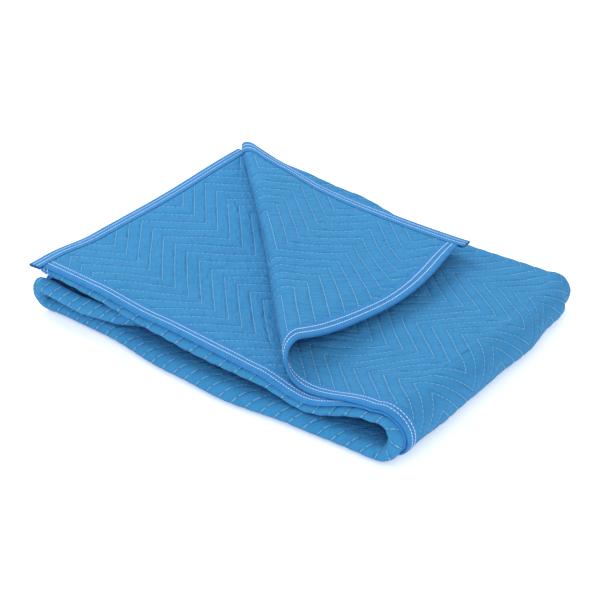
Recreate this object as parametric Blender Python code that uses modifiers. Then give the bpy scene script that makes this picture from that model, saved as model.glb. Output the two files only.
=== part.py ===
# Quilted moving blanket: folded in four across its width, rolled over along its length,
# with one corner of the top leaf turned back.
# The cloth is one sheet. Each of its points has a place (s, t) on the flat sheet, s along the
# length and t across the width, and the functions below carry that place to the folded one.

import math
from collections import namedtuple

import bmesh
import bpy
import numpy as np

OBJECT_NAME = "moving_blanket"

# The cloth, in metres
CLOTH_LENGTH = 1.62
CLOTH_WIDTH = 1.98
PUFF_THICKNESS = 0.0042
STITCHED_SHARE = 0.45
LAYER_PITCH = 0.0062

# The quilting: zigzag lines across the width, evenly spaced along the length
QUILT_PITCH = 0.0254
ZIGZAG_REACH = 2.5 * QUILT_PITCH
ZIGZAG_HALF_WAVE = 0.0715

QUILT_START = 0.0315
QUILT_END = QUILT_START + 22 * QUILT_PITCH

# The binding strip, a channel folded over each edge
BINDING_WIDTH = 0.021
BINDING_WALL = 0.0006
BINDING_GAP = 0.0006
BINDING_GAP_ON_CURL = 0.0008
BINDING_TAB = 0.009

# The roll, seen from the near side: upper run, front bend, lower run, left bend, middle run
FRONT_BEND_X = 0.622
FRONT_BEND_RADIUS_NEAR = 0.0280
FRONT_BEND_RADIUS_FAR = 0.0155
LEFT_BEND_X = 0.015
LEFT_BEND_RADIUS = 0.0155
LOWER_Z = 1.5 * LAYER_PITCH + 0.5 * PUFF_THICKNESS

# Across the width, counted in layers from the middle of the stack, the outer leaf first
OUTER_LEVEL = 1.5 * LAYER_PITCH
INNER_LEVEL = 0.5 * LAYER_PITCH
FLARE_START_Y = 0.12
FLARE_END_Y = 0.02
FLARE_TOP = 0.12 * LAYER_PITCH
NEAR_BEND_RADIUS = 0.0051
NEAR_BEND_T = 0.9957
INNER_FOLD_INSET = 0.004
FOLD_SPAN = 0.4945
LEAF_RUN = FOLD_SPAN - OUTER_LEVEL - NEAR_BEND_RADIUS

# The turned-back corner of the top leaf
CREASE_FAR = (0.026, 0.4877)
CREASE_NEAR = (0.500, 0.0)
CURL_RADIUS_FAR = 0.014
CURL_RADIUS_NEAR = 0.020
CURL_OVERTURN = math.radians(11)
FLAP_REST_HEIGHT = 0.0064
FLAP_STRETCH = 1.07
FLAP_EASING = 0.12

# Height of the middle line of the stack along the two upper runs, the uppermost at its near
# and at its far side
RunHeight = namedtuple("RunHeight", "x near far middle")
RUN_HEIGHTS = [
    RunHeight(0.000, 0.0735, 0.0805, 0.0424),
    RunHeight(0.015, 0.0740, 0.0800, 0.0424),
    RunHeight(0.120, 0.0725, 0.0710, 0.0366),
    RunHeight(0.235, 0.0615, 0.0606, 0.0362),
    RunHeight(0.370, 0.0575, 0.0405, 0.0362),
    RunHeight(0.420, 0.0555, 0.0390, 0.0362),
    RunHeight(0.500, 0.0410, 0.0385, 0.0362),
    RunHeight(0.605, 0.0640, 0.0390, 0.0362),
    RunHeight(0.622, LOWER_Z + 2 * FRONT_BEND_RADIUS_NEAR, LOWER_Z + 2 * FRONT_BEND_RADIUS_FAR, 0.0362),
]

# Where the near fold runs, how far the fat bends lift the near side, how far the two leaves of
# the near bend stand apart there, and how much further the two loose edges reach, along the cloth
FoldPlace = namedtuple("FoldPlace", "along near_y lift bottom middle outer_reach inner_reach")
FOLD_PLACES = [
    FoldPlace(0.00, 0.004, 0.0095, 0.0025, 0.0015, 0.000, 0.000),
    FoldPlace(0.30, 0.001, 0.0090, 0.0025, 0.0015, 0.000, 0.000),
    FoldPlace(0.50, 0.003, 0.0060, 0.0025, 0.0015, 0.000, 0.000),
    FoldPlace(0.60, 0.004, 0.0050, 0.0025, 0.0015, 0.004, -0.012),
    FoldPlace(0.73, -0.007, 0.0000, 0.0025, 0.0015, -0.012, -0.018),
    FoldPlace(1.00, -0.010, 0.0000, 0.0042, 0.0015, -0.012, -0.018),
    FoldPlace(1.30, -0.007, 0.0000, 0.0025, 0.0015, -0.008, -0.012),
    FoldPlace(1.39, 0.000, 0.0048, 0.0025, 0.0015, 0.000, 0.000),
    FoldPlace(1.62, 0.002, 0.0048, 0.0025, 0.0015, 0.000, 0.000),
]

# Height of the run that the stiff turned-back corner would lie flat on, where it spans a hollow
FlapLevel = namedtuple("FlapLevel", "x height")
FLAP_LEVELS = [
    FlapLevel(0.00, 0.0700),
    FlapLevel(0.12, 0.0660),
    FlapLevel(0.30, 0.0600),
    FlapLevel(0.50, 0.0620),
]

# How far each leaf has slid along the length against the leaf that is seen at the left end
LeafSlide = namedtuple("LeafSlide", "t slide")
LEAF_SLIDES = [
    LeafSlide(0.00, 0.020),
    LeafSlide(0.30, 0.020),
    LeafSlide(0.60, 0.011),
    LeafSlide(0.98, 0.010),
    LeafSlide(1.02, 0.006),
    LeafSlide(1.20, 0.005),
    LeafSlide(1.45, 0.000),
    LeafSlide(1.98, 0.000),
]

# Slow bends of the whole stack in plan, so that no side is ruled straight
Sway = namedtuple("Sway", "size length phase")
SWAY_ALONG = [Sway(0.0035, 0.95, 0.6), Sway(0.0015, 0.31, 2.1)]
SWAY_ACROSS = [Sway(0.0030, 0.80, 0.4), Sway(0.0012, 0.27, 1.3)]

PUFF_GROUP = "puff"


def smooth_step(value):
    value = np.clip(value, 0.0, 1.0)
    return value * value * (3.0 - 2.0 * value)


def smooth_table(place, places, values):
    """Read a table with soft steps between its rows."""
    places = np.asarray(places)
    values = np.asarray(values)
    row = np.clip(np.searchsorted(places, place) - 1, 0, len(places) - 2)
    share = smooth_step((place - places[row]) / (places[row + 1] - places[row]))
    return values[row] + share * (values[row + 1] - values[row])


def near_share(y):
    """One at the near side, fading to nothing further in."""
    return smooth_step((FLARE_START_Y - y) / (FLARE_START_Y - FLARE_END_Y))


def upper_run_height(x, y):
    """Height of the middle line of the uppermost run, which tilts from its near to its far side."""
    near = smooth_table(x, [row.x for row in RUN_HEIGHTS], [row.near for row in RUN_HEIGHTS])
    far = smooth_table(x, [row.x for row in RUN_HEIGHTS], [row.far for row in RUN_HEIGHTS])
    return near + (far - near) * np.clip(y / FOLD_SPAN, 0.0, 1.0)


def middle_run_height(x):
    return smooth_table(x, [row.x for row in RUN_HEIGHTS], [row.middle for row in RUN_HEIGHTS])


def fold_places(along):
    """Read every column of FOLD_PLACES at places along the cloth."""
    table_along = [row.along for row in FOLD_PLACES]
    columns = [smooth_table(along, table_along, [getattr(row, name) for row in FOLD_PLACES])
               for name in FoldPlace._fields[1:]]
    return FoldPlace(along, *columns)


def across_fold(t, place):
    """Carry t to (y, level) on the back-and-forth section; leaf_c marks the outer leaf."""
    radius = 0.5 * (OUTER_LEVEL + place.bottom - INNER_LEVEL + place.middle)
    bend_level = -0.5 * (OUTER_LEVEL + place.bottom + INNER_LEVEL - place.middle)
    near_centre = place.near_y + radius
    far_centre = place.near_y + FOLD_SPAN - OUTER_LEVEL
    inner_centre = far_centre - INNER_FOLD_INSET
    quarter = 0.5 * math.pi * NEAR_BEND_RADIUS
    y = np.zeros_like(t)
    level = np.zeros_like(t)

    outward = NEAR_BEND_T - t
    outer_bend = math.pi * OUTER_LEVEL
    on_bend = (outward >= 0) & (outward < quarter)
    angle = outward / NEAR_BEND_RADIUS
    y = np.where(on_bend, near_centre - radius * np.cos(angle), y)
    level = np.where(on_bend, bend_level - radius * np.sin(angle), level)
    run = outward - quarter
    on_bottom = (run >= 0) & (run < LEAF_RUN)
    bottom_y = near_centre + run * (far_centre - near_centre) / LEAF_RUN
    y = np.where(on_bottom, bottom_y, y)
    level = np.where(on_bottom, -OUTER_LEVEL - place.bottom * near_share(bottom_y), level)
    run = run - LEAF_RUN
    on_outer_bend = (run >= 0) & (run < outer_bend)
    y = np.where(on_outer_bend, far_centre + OUTER_LEVEL * np.sin(run / OUTER_LEVEL), y)
    level = np.where(on_outer_bend, -OUTER_LEVEL * np.cos(run / OUTER_LEVEL), level)
    run = run - outer_bend
    leaf_c = run >= 0
    y = np.where(leaf_c, far_centre - run * (1.0 + place.outer_reach / LEAF_RUN), y)
    level = np.where(leaf_c, OUTER_LEVEL, level)

    inward = t - NEAR_BEND_T
    middle_run = LEAF_RUN - INNER_FOLD_INSET
    inner_bend = math.pi * INNER_LEVEL
    on_bend = (inward > 0) & (inward < quarter)
    angle = inward / NEAR_BEND_RADIUS
    y = np.where(on_bend, near_centre - radius * np.cos(angle), y)
    level = np.where(on_bend, bend_level + radius * np.sin(angle), level)
    run = inward - quarter
    on_middle = (run >= 0) & (run < middle_run)
    middle_y = near_centre + run * (inner_centre - near_centre) / middle_run
    y = np.where(on_middle, middle_y, y)
    level = np.where(on_middle, -INNER_LEVEL + place.middle * near_share(middle_y), level)
    run = run - middle_run
    on_inner_bend = (run >= 0) & (run < inner_bend)
    y = np.where(on_inner_bend, inner_centre + INNER_LEVEL * np.sin(run / INNER_LEVEL), y)
    level = np.where(on_inner_bend, -INNER_LEVEL * np.cos(run / INNER_LEVEL), level)
    run = run - inner_bend
    leaf_a = run >= 0
    top_y = inner_centre - run * (1.0 + place.inner_reach / LEAF_RUN)
    y = np.where(leaf_a, top_y, y)
    level = np.where(leaf_a, INNER_LEVEL + FLARE_TOP * near_share(top_y), level)
    return y, level, leaf_c


def roll_places():
    """Places on the cloth where the front bend ends and the left bend starts and ends."""
    radius = 0.5 * (FRONT_BEND_RADIUS_NEAR + FRONT_BEND_RADIUS_FAR)
    front_end = FRONT_BEND_X + math.pi * (radius + OUTER_LEVEL)
    left_start = front_end + FRONT_BEND_X - LEFT_BEND_X
    left_end = left_start + math.pi * (LEFT_BEND_RADIUS + OUTER_LEVEL)
    return front_end, left_start, left_end


def along_roll(s, y, level):
    """Carry s to (x, z) on the rolled path, for cloth that lies level above its middle line.

    The outer leaf keeps its length round the bends and the leaves inside it bunch up a little.
    """
    front_end, left_start, left_end = roll_places()
    x = s
    z = upper_run_height(s, y) + level
    on_front = (s >= FRONT_BEND_X) & (s < front_end)
    bend_radius = 0.5 * (upper_run_height(FRONT_BEND_X, y) - LOWER_Z)
    radius = bend_radius + level
    angle = math.pi * (s - FRONT_BEND_X) / (front_end - FRONT_BEND_X)
    x = np.where(on_front, FRONT_BEND_X + radius * np.sin(angle), x)
    z = np.where(on_front, LOWER_Z + bend_radius + radius * np.cos(angle), z)
    on_lower = (s >= front_end) & (s < left_start)
    x = np.where(on_lower, FRONT_BEND_X - (s - front_end), x)
    z = np.where(on_lower, LOWER_Z - level, z)
    on_left = (s >= left_start) & (s < left_end)
    radius = LEFT_BEND_RADIUS + level
    angle = math.pi * (s - left_start) / (left_end - left_start)
    x = np.where(on_left, LEFT_BEND_X - radius * np.sin(angle), x)
    z = np.where(on_left, LOWER_Z + LEFT_BEND_RADIUS - radius * np.cos(angle), z)
    on_middle = s >= left_end
    middle_x = LEFT_BEND_X + s - left_end
    x = np.where(on_middle, middle_x, x)
    z = np.where(on_middle, middle_run_height(middle_x) + level, z)
    return x, z


def top_leaf_height(x, y):
    """Height of the outer leaf of the upper run, where the turned-back corner lies on it."""
    return upper_run_height(x, y) + OUTER_LEVEL + fold_places(x).lift * near_share(y)


def crease_frame():
    """Unit directions down the crease and out to the corner that is turned back, and its length."""
    along = np.array([CREASE_NEAR[0] - CREASE_FAR[0], CREASE_NEAR[1] - CREASE_FAR[1]])
    length = np.hypot(*along)
    along = along / length
    return along, np.array([along[1], -along[0]]), length


def past_crease(x, y):
    outward = crease_frame()[1]
    return (x - CREASE_FAR[0]) * outward[0] + (y - CREASE_FAR[1]) * outward[1]


def turn_back(x, y, z, on_top_leaf):
    """Curl the corner of the top leaf over its crease and lay it on the leaf behind."""
    along, outward, length = crease_frame()
    past = past_crease(x, y)
    turned = on_top_leaf & (past > 0)
    down_crease = ((x - CREASE_FAR[0]) * along[0] + (y - CREASE_FAR[1]) * along[1]) / length
    radius = CURL_RADIUS_FAR + (CURL_RADIUS_NEAR - CURL_RADIUS_FAR) * smooth_step(down_crease)
    angle = np.minimum(past / radius, math.pi + CURL_OVERTURN)
    beyond = FLAP_STRETCH * np.maximum(past - radius * (math.pi + CURL_OVERTURN), 0.0)
    offset = radius * np.sin(angle) - beyond * math.cos(CURL_OVERTURN)
    rise = radius * (1.0 - np.cos(angle)) - beyond * math.sin(CURL_OVERTURN)
    blend = 0.006
    settled = FLAP_REST_HEIGHT + 0.5 * (rise - FLAP_REST_HEIGHT
                                        + np.sqrt((rise - FLAP_REST_HEIGHT) ** 2 + blend ** 2))
    easing = smooth_step((past / radius - 0.5 * math.pi) / (0.5 * math.pi))
    rise = rise + easing * (settled - rise)
    new_x = x + outward[0] * (offset - past)
    new_y = y + outward[1] * (offset - past)
    under = top_leaf_height(new_x, new_y)
    spanned = smooth_table(new_x, [row.x for row in FLAP_LEVELS], [row.height for row in FLAP_LEVELS])
    hollow = np.maximum(spanned + OUTER_LEVEL - under, 0.0)
    new_z = under + hollow * smooth_step((past - 2.0 * radius) / FLAP_EASING) + rise
    return np.where(turned, new_x, x), np.where(turned, new_y, y), np.where(turned, new_z, z)


def sway(x, y):
    """Bend the whole stack a little in plan."""
    sway_x = sum(row.size * np.sin(2 * math.pi * y / row.length + row.phase) for row in SWAY_ALONG)
    sway_y = sum(row.size * np.sin(2 * math.pi * x / row.length + row.phase) for row in SWAY_ACROSS)
    return x + sway_x, y + sway_y


def folded_place(s, t):
    """Carry flat places (s, t) to folded points, as an array of x, y and z."""
    slide = smooth_table(t, [row.t for row in LEAF_SLIDES], [row.slide for row in LEAF_SLIDES])
    shifted = s + slide
    place = fold_places(shifted)
    y, level, leaf_c = across_fold(t, place)
    x, z = along_roll(shifted, y, level)
    z = z + place.lift * near_share(y)
    x, y, z = turn_back(x, y, z, leaf_c & (shifted < FRONT_BEND_X))
    x, y = sway(x, y)
    return np.stack([x, y, z], axis=-1)


def cloth_normal(s, t):
    """Unit normal of the folded sheet at flat places (s, t)."""
    step = 0.0004
    run_s = folded_place(s + step, t) - folded_place(s - step, t)
    run_t = folded_place(s, t + step) - folded_place(s, t - step)
    normal = np.cross(run_s, run_t)
    return normal / np.linalg.norm(normal, axis=-1, keepdims=True)


def steps(start, end, spacing):
    """Even places from start up to but not including end, about spacing apart."""
    count = max(1, round((end - start) / spacing))
    return [start + (end - start) * index / count for index in range(count)]


def leaf_turns():
    """Places across the width where the outer fold, the near fold and the inner fold start and end."""
    quarter = 0.5 * math.pi * NEAR_BEND_RADIUS
    outer_end = NEAR_BEND_T - quarter - LEAF_RUN
    inner_start = NEAR_BEND_T + quarter + LEAF_RUN - INNER_FOLD_INSET
    return (outer_end - math.pi * OUTER_LEVEL, outer_end, NEAR_BEND_T - quarter,
            NEAR_BEND_T + quarter, inner_start, inner_start + math.pi * INNER_LEVEL)


def crease_distance(s, t):
    """How far flat places on the top leaf, or above the crease on the leaf below, lie past it."""
    outer_start, outer_end, near_start, near_end, inner_start, inner_end = leaf_turns()
    far_y = FOLD_PLACES[0].near_y + FOLD_SPAN - OUTER_LEVEL
    on_top_leaf = t < outer_end
    y = np.where(on_top_leaf, far_y - (outer_start - t), far_y - INNER_FOLD_INSET - (t - inner_end))
    return past_crease(np.where(on_top_leaf, s + LEAF_SLIDES[0].slide, s), y)


def zigzag_lean(s, t):
    """Distance along the length by which the column at s leans to follow the quilting at t."""
    outer_start, outer_end, near_start, near_end, inner_start, inner_end = leaf_turns()
    wave = np.abs((t / ZIGZAG_HALF_WAVE) % 2.0 - 1.0)
    fade_in = smooth_step((s - 1.5 * BINDING_WIDTH) / 0.085)
    outer_fade = smooth_step((outer_start - t) / 0.07) * smooth_step((0.47 - s) / 0.12)
    inner_fade = smooth_step((t - inner_end) / 0.07) * smooth_step((0.42 - s) / 0.10)
    past = crease_distance(s, t)
    off_crease = smooth_step((np.abs(past - 0.032) - 0.042) / 0.065)
    in_view = smooth_step((past + 0.090) / 0.065)
    return (wave - 0.5) * ZIGZAG_REACH * fade_in * (inner_fade * in_view + outer_fade * off_crease)


def sheet_columns():
    """Places along the length, from spans of (start, end, spacing)."""
    front_end, left_start, left_end = roll_places()
    slide = LEAF_SLIDES[0].slide
    spans = [
        (0.0, QUILT_START, 0.5 * BINDING_WIDTH),
        (QUILT_START, QUILT_END, QUILT_PITCH),
        (QUILT_END, FRONT_BEND_X - slide, QUILT_PITCH),
        (FRONT_BEND_X - slide, front_end, 0.0168),
        (front_end, left_start - slide, 0.150),
        (left_start - slide, left_end, 0.0165),
        (left_end, CLOTH_LENGTH - BINDING_WIDTH, 0.125),
        (CLOTH_LENGTH - BINDING_WIDTH, CLOTH_LENGTH, BINDING_WIDTH),
    ]
    places = [place for span in spans for place in steps(*span)]
    return np.array(places + [CLOTH_LENGTH])


def sheet_rows():
    """Places across the width, from spans of (start, end, spacing), leaf by leaf."""
    outer_start, outer_end, near_start, near_end, inner_start, inner_end = leaf_turns()
    flare = FLARE_START_Y - NEAR_BEND_RADIUS
    spans = [
        (0.0, BINDING_WIDTH, BINDING_WIDTH),
        (BINDING_WIDTH, 1.5 * BINDING_WIDTH, BINDING_WIDTH),
        (1.5 * BINDING_WIDTH, ZIGZAG_HALF_WAVE, ZIGZAG_HALF_WAVE),
        (ZIGZAG_HALF_WAVE, 6 * ZIGZAG_HALF_WAVE, ZIGZAG_HALF_WAVE),
        (6 * ZIGZAG_HALF_WAVE, outer_start, ZIGZAG_HALF_WAVE),
        (outer_start, outer_end, 0.0075),
        (outer_end, near_start - flare, 0.200),
        (near_start - flare, near_start, 0.038),
        (near_start, near_end, 0.004),
        (near_end, near_end + flare, 0.038),
        (near_end + flare, inner_start, 0.200),
        (inner_start, inner_end, 0.0025),
        (inner_end, 21 * ZIGZAG_HALF_WAVE, ZIGZAG_HALF_WAVE),
        (21 * ZIGZAG_HALF_WAVE, 26 * ZIGZAG_HALF_WAVE, ZIGZAG_HALF_WAVE),
        (26 * ZIGZAG_HALF_WAVE, 27 * ZIGZAG_HALF_WAVE, 0.5 * ZIGZAG_HALF_WAVE),
        (27 * ZIGZAG_HALF_WAVE, CLOTH_WIDTH - 1.5 * BINDING_WIDTH, ZIGZAG_HALF_WAVE),
        (CLOTH_WIDTH - 1.5 * BINDING_WIDTH, CLOTH_WIDTH - BINDING_WIDTH, BINDING_WIDTH),
        (CLOTH_WIDTH - BINDING_WIDTH, CLOTH_WIDTH, BINDING_WIDTH),
    ]
    places = [place for span in spans for place in steps(*span)]
    return np.array(places + [CLOTH_WIDTH])


def on_quilted_top(s, t):
    """The top leaf between the left binding and the front bend."""
    return (s < QUILT_END) & (t < leaf_turns()[0])


def on_seen_leaf(s, t):
    """The quilted top, and the leaf below as far as the top one leaves it in view."""
    below = (t > leaf_turns()[5]) & (crease_distance(s, t) > -0.02)
    return (s > QUILT_START) & (s < QUILT_END) & (on_quilted_top(s, t) | below)


def on_curl(s, t):
    past = crease_distance(s, t)
    return on_quilted_top(s, t) & (past > -0.012) & (past < 0.066)


def add_line(sheet, direction, place, region):
    """Cut a flat sheet along a line of constant s or t, only through faces centred in a region."""
    axis = 0 if direction == "s" else 1
    crossed = []
    for face in sheet.faces:
        places = [vert.co[axis] for vert in face.verts]
        centre = face.calc_center_bounds()
        if min(places) < place - 0.001 and max(places) > place + 0.001 and region(centre.x, centre.y):
            crossed.append(face)
    edges = {edge for face in crossed for edge in face.edges}
    verts = {vert for face in crossed for vert in face.verts}
    normal = (1.0, 0.0, 0.0) if axis == 0 else (0.0, 1.0, 0.0)
    bmesh.ops.bisect_plane(sheet, geom=crossed + list(edges) + list(verts), dist=0.00001,
                           plane_co=(place * normal[0], place * normal[1], 0.0), plane_no=normal)


def split_along_crease(face, places):
    """Split a face between its two corners that lie furthest apart down the crease."""
    ordered = sorted(face.verts, key=lambda vert: places[vert][0] - places[vert][1])
    if ordered[0].link_edges and not any(edge.other_vert(ordered[0]) is ordered[-1]
                                         for edge in ordered[0].link_edges):
        bmesh.utils.face_split(face, ordered[0], ordered[-1])


def flat_sheet(columns, rows):
    """The whole cloth laid flat as a grid, with closer lines where it is quilted or curled."""
    sheet = bmesh.new()
    bmesh.ops.create_grid(sheet, x_segments=len(columns) - 1, y_segments=len(rows) - 1, size=1.0)
    for vert in sheet.verts:
        column = round((vert.co.x + 1.0) / 2.0 * (len(columns) - 1))
        row = round((vert.co.y + 1.0) / 2.0 * (len(rows) - 1))
        vert.co = (columns[column], rows[row], 0.0)
    first_line = QUILT_START + 0.5 * QUILT_PITCH
    for place in steps(first_line, QUILT_END + 0.5 * QUILT_PITCH, QUILT_PITCH):
        add_line(sheet, "s", place, on_seen_leaf)
    half = 0.5 * ZIGZAG_HALF_WAVE
    for place in steps(half, 13 * half, half):
        add_line(sheet, "t", place, on_quilted_top)
    add_line(sheet, "t", 0.5 * BINDING_WIDTH, on_quilted_top)
    last = 13 * half
    for place in steps(4 * half / 3, last, half / 3) + [last, 0.5 * (last + leaf_turns()[0])]:
        add_line(sheet, "t", place, on_curl)
    for face in [face for face in sheet.faces if len(face.verts) > 3]:
        split_along_crease(face, {vert: (vert.co.x, vert.co.y) for vert in face.verts})
    return sheet


def mesh_object(name, mesh, material, collection):
    mesh.materials.append(material)
    mesh.shade_smooth()
    part = bpy.data.objects.new(name, mesh)
    collection.objects.link(part)
    return part


def strip_object(name, points, places, material, collection):
    """Move a grid primitive's vertices to points[row, column]; places are their flat ones."""
    rows, columns = points.shape[:2]
    grid = bmesh.new()
    bmesh.ops.create_grid(grid, x_segments=columns - 1, y_segments=rows - 1, size=1.0)
    flat = {}
    for vert in grid.verts:
        column = round((vert.co.x + 1.0) / 2.0 * (columns - 1))
        row = round((vert.co.y + 1.0) / 2.0 * (rows - 1))
        vert.co = points[row, column]
        flat[vert] = places[row, column]
    for face in list(grid.faces):
        split_along_crease(face, flat)
    mesh = bpy.data.meshes.new(name)
    grid.to_mesh(mesh)
    grid.free()
    return mesh_object(name, mesh, material, collection)


def add_thickness(part, thickness, thin_share=None):
    solidify = part.modifiers.new("thickness", "SOLIDIFY")
    solidify.thickness = thickness
    solidify.offset = 0.0
    solidify.use_rim = True
    if thin_share is not None:
        solidify.vertex_group = PUFF_GROUP
        solidify.thickness_vertex_group = thin_share


def make_pad(material, collection):
    """The quilted cloth itself, one sheet, thick at its puffs and thin at its stitching.

    Returns the places along each of its four edges, for the strips sewn over them.
    """
    sheet = flat_sheet(sheet_columns(), sheet_rows())
    mesh = bpy.data.meshes.new("pad")
    sheet.to_mesh(mesh)
    sheet.free()
    flat = np.empty(len(mesh.vertices) * 3)
    mesh.vertices.foreach_get("co", flat)
    s, t = flat.reshape(-1, 3)[:, 0], flat.reshape(-1, 3)[:, 1]
    s = np.round(s.astype(float), 6)
    t = np.round(t.astype(float), 6)
    mesh.vertices.foreach_set("co", folded_place(s + zigzag_lean(s, t), t).ravel())
    pad = mesh_object("pad", mesh, material, collection)

    line = (s - QUILT_START) / (0.5 * QUILT_PITCH)
    on_stitching = (np.abs(line - np.rint(line)) < 0.01) & (np.rint(line) % 2 == 1)
    under_binding = ((s < 1.01 * BINDING_WIDTH) | (s > CLOTH_LENGTH - 1.01 * BINDING_WIDTH)
                     | (t < 1.01 * BINDING_WIDTH) | (t > CLOTH_WIDTH - 1.01 * BINDING_WIDTH))
    thin = under_binding | (on_stitching & (s < QUILT_END))
    group = pad.vertex_groups.new(name=PUFF_GROUP)
    group.add([int(index) for index in np.flatnonzero(~thin)], 1.0, "REPLACE")
    group.add([int(index) for index in np.flatnonzero(thin)], 0.0, "REPLACE")
    add_thickness(pad, PUFF_THICKNESS, STITCHED_SHARE)
    near = 0.00001
    return (np.unique(t[s < near]), np.unique(s[t < near]), np.unique(s[t > CLOTH_WIDTH - near]),
            np.unique(t[s > CLOTH_LENGTH - near]))


def binding_points(edge, inner, leg_rows):
    """Rows of points round an edge, from flat places (s, t) on it and one width inside it."""
    near_curl = smooth_step((0.075 - np.abs(crease_distance(*edge) - 0.030)) / 0.020)
    near_curl = np.where(edge[1] < leaf_turns()[1], near_curl, 0.0)[:, np.newaxis]
    gap = BINDING_GAP + (BINDING_GAP_ON_CURL - BINDING_GAP) * near_curl
    side = 0.5 * PUFF_THICKNESS * STITCHED_SHARE + gap + 0.5 * BINDING_WALL
    past_edge = BINDING_GAP + 0.5 * BINDING_WALL
    just_inside = edge + 0.1 * (inner - edge)
    edge_point = folded_place(*edge)
    edge_normal = cloth_normal(*just_inside)
    outward = edge_point - folded_place(*just_inside)
    outward = outward - edge_normal * np.sum(outward * edge_normal, axis=-1, keepdims=True)
    outward = outward / np.linalg.norm(outward, axis=-1, keepdims=True)
    rim = edge_point + past_edge * outward
    leg = [edge + (inner - edge) * (leg_rows - row) / leg_rows for row in range(leg_rows)]
    upper_leg = [folded_place(*place) + side * cloth_normal(*place) for place in leg]
    lower_leg = [folded_place(*place) - side * cloth_normal(*place) for place in leg]
    points = upper_leg + [rim + side * edge_normal, rim - side * edge_normal] + lower_leg[::-1]
    places = leg + [edge, edge] + leg[::-1]
    return np.stack(points), np.stack([place.T for place in places])


def make_binding(name, edge, inner, leg_rows, material, collection):
    points, places = binding_points(edge, inner, leg_rows)
    strip_object(name, points, places, material, collection)
    add_thickness(bpy.data.objects[name], BINDING_WALL)


def make_bindings(edge_places, material, collection):
    """A strip along each edge; the left strip runs past both corners as a short tab."""
    left_rows, flap_columns, near_columns, inner_rows = edge_places
    width = BINDING_WIDTH
    butt = 0.002
    across = np.concatenate([[-BINDING_TAB], left_rows, [CLOTH_WIDTH + BINDING_TAB]])
    none = np.zeros_like(across)
    make_binding("binding_left", np.stack([none, across]), np.stack([none + width, across]), 2,
                 material, collection)
    for name, columns, edge_t, inner_t, leg_rows in (
            ("binding_flap", flap_columns, 0.0, width, 2),
            ("binding_near", near_columns, CLOTH_WIDTH, CLOTH_WIDTH - width, 1)):
        along = np.unique(np.maximum(columns, BINDING_WIDTH + butt))
        edge = np.stack([along + zigzag_lean(along, edge_t), np.full_like(along, edge_t)])
        inner = np.stack([along + zigzag_lean(along, inner_t), np.full_like(along, inner_t)])
        make_binding(name, edge, inner, leg_rows, material, collection)
    across = np.unique(np.clip(inner_rows, BINDING_WIDTH + butt, CLOTH_WIDTH - BINDING_WIDTH - butt))
    length = np.full_like(across, CLOTH_LENGTH)
    make_binding("binding_inner", np.stack([length, across]), np.stack([length - width, across]), 1,
                 material, collection)


def cloth_material(name, colour, roughness):
    material = bpy.data.materials.new(name)
    material.use_nodes = True
    shader = material.node_tree.nodes["Principled BSDF"]
    shader.inputs["Base Color"].default_value = (*colour, 1.0)
    shader.inputs["Roughness"].default_value = roughness
    shader.inputs["Metallic"].default_value = 0.0
    return material


def stand_on_origin(collection):
    """Move the meshes so that the middle of the blanket's footprint is the origin, at z = 0."""
    depsgraph = bpy.context.evaluated_depsgraph_get()
    lows = []
    highs = []
    for part in collection.objects:
        solid = part.evaluated_get(depsgraph).to_mesh()
        flat = np.empty(len(solid.vertices) * 3)
        solid.vertices.foreach_get("co", flat)
        lows.append(flat.reshape(-1, 3).min(axis=0))
        highs.append(flat.reshape(-1, 3).max(axis=0))
    low = np.min(lows, axis=0)
    high = np.max(highs, axis=0)
    shift = np.array([0.5 * (low[0] + high[0]), 0.5 * (low[1] + high[1]), low[2]])
    for part in collection.objects:
        flat = np.empty(len(part.data.vertices) * 3)
        part.data.vertices.foreach_get("co", flat)
        part.data.vertices.foreach_set("co", (flat.reshape(-1, 3) - shift).ravel())
        part.data.update()


def main():
    for old in list(bpy.data.objects):
        bpy.data.objects.remove(old, do_unlink=True)
    collection = bpy.data.collections.new(OBJECT_NAME)
    bpy.context.scene.collection.children.link(collection)
    cloth = cloth_material("quilted_cloth", (0.062, 0.305, 0.640), 0.90)
    tape = cloth_material("binding_tape", (0.055, 0.260, 0.600), 0.85)
    edge_places = make_pad(cloth, collection)
    make_bindings(edge_places, tape, collection)
    bpy.context.view_layer.update()
    stand_on_origin(collection)


main()
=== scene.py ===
# A quilted moving blanket, folded in four across its width and rolled over along its length,
# with one corner of the top leaf turned back. These are its looks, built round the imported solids.
import math

import bmesh
import bpy
import numpy as np
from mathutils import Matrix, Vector


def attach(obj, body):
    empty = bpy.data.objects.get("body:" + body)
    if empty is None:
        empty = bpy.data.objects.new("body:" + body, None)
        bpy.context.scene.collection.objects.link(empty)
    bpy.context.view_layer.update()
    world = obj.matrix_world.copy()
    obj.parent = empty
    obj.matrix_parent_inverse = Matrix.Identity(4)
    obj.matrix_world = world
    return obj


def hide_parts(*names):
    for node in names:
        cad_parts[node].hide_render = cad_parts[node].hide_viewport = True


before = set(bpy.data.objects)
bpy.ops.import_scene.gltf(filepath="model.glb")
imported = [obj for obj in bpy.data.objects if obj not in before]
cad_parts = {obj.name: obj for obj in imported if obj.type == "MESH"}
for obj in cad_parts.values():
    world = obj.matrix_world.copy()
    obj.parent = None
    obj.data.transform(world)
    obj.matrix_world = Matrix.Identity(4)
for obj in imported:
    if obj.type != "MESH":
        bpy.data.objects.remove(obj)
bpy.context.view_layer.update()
print("frame loaded")


# the camera stands where the photograph was taken from; places are on the blanket's own plan
camera = {
    "target": (0.339, 0.209, 0.040),
    "azimuth": 36.7,
    "elevation": 31.5,
    "distance": 2.083,
    "lens": 84.0,
}

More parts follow.
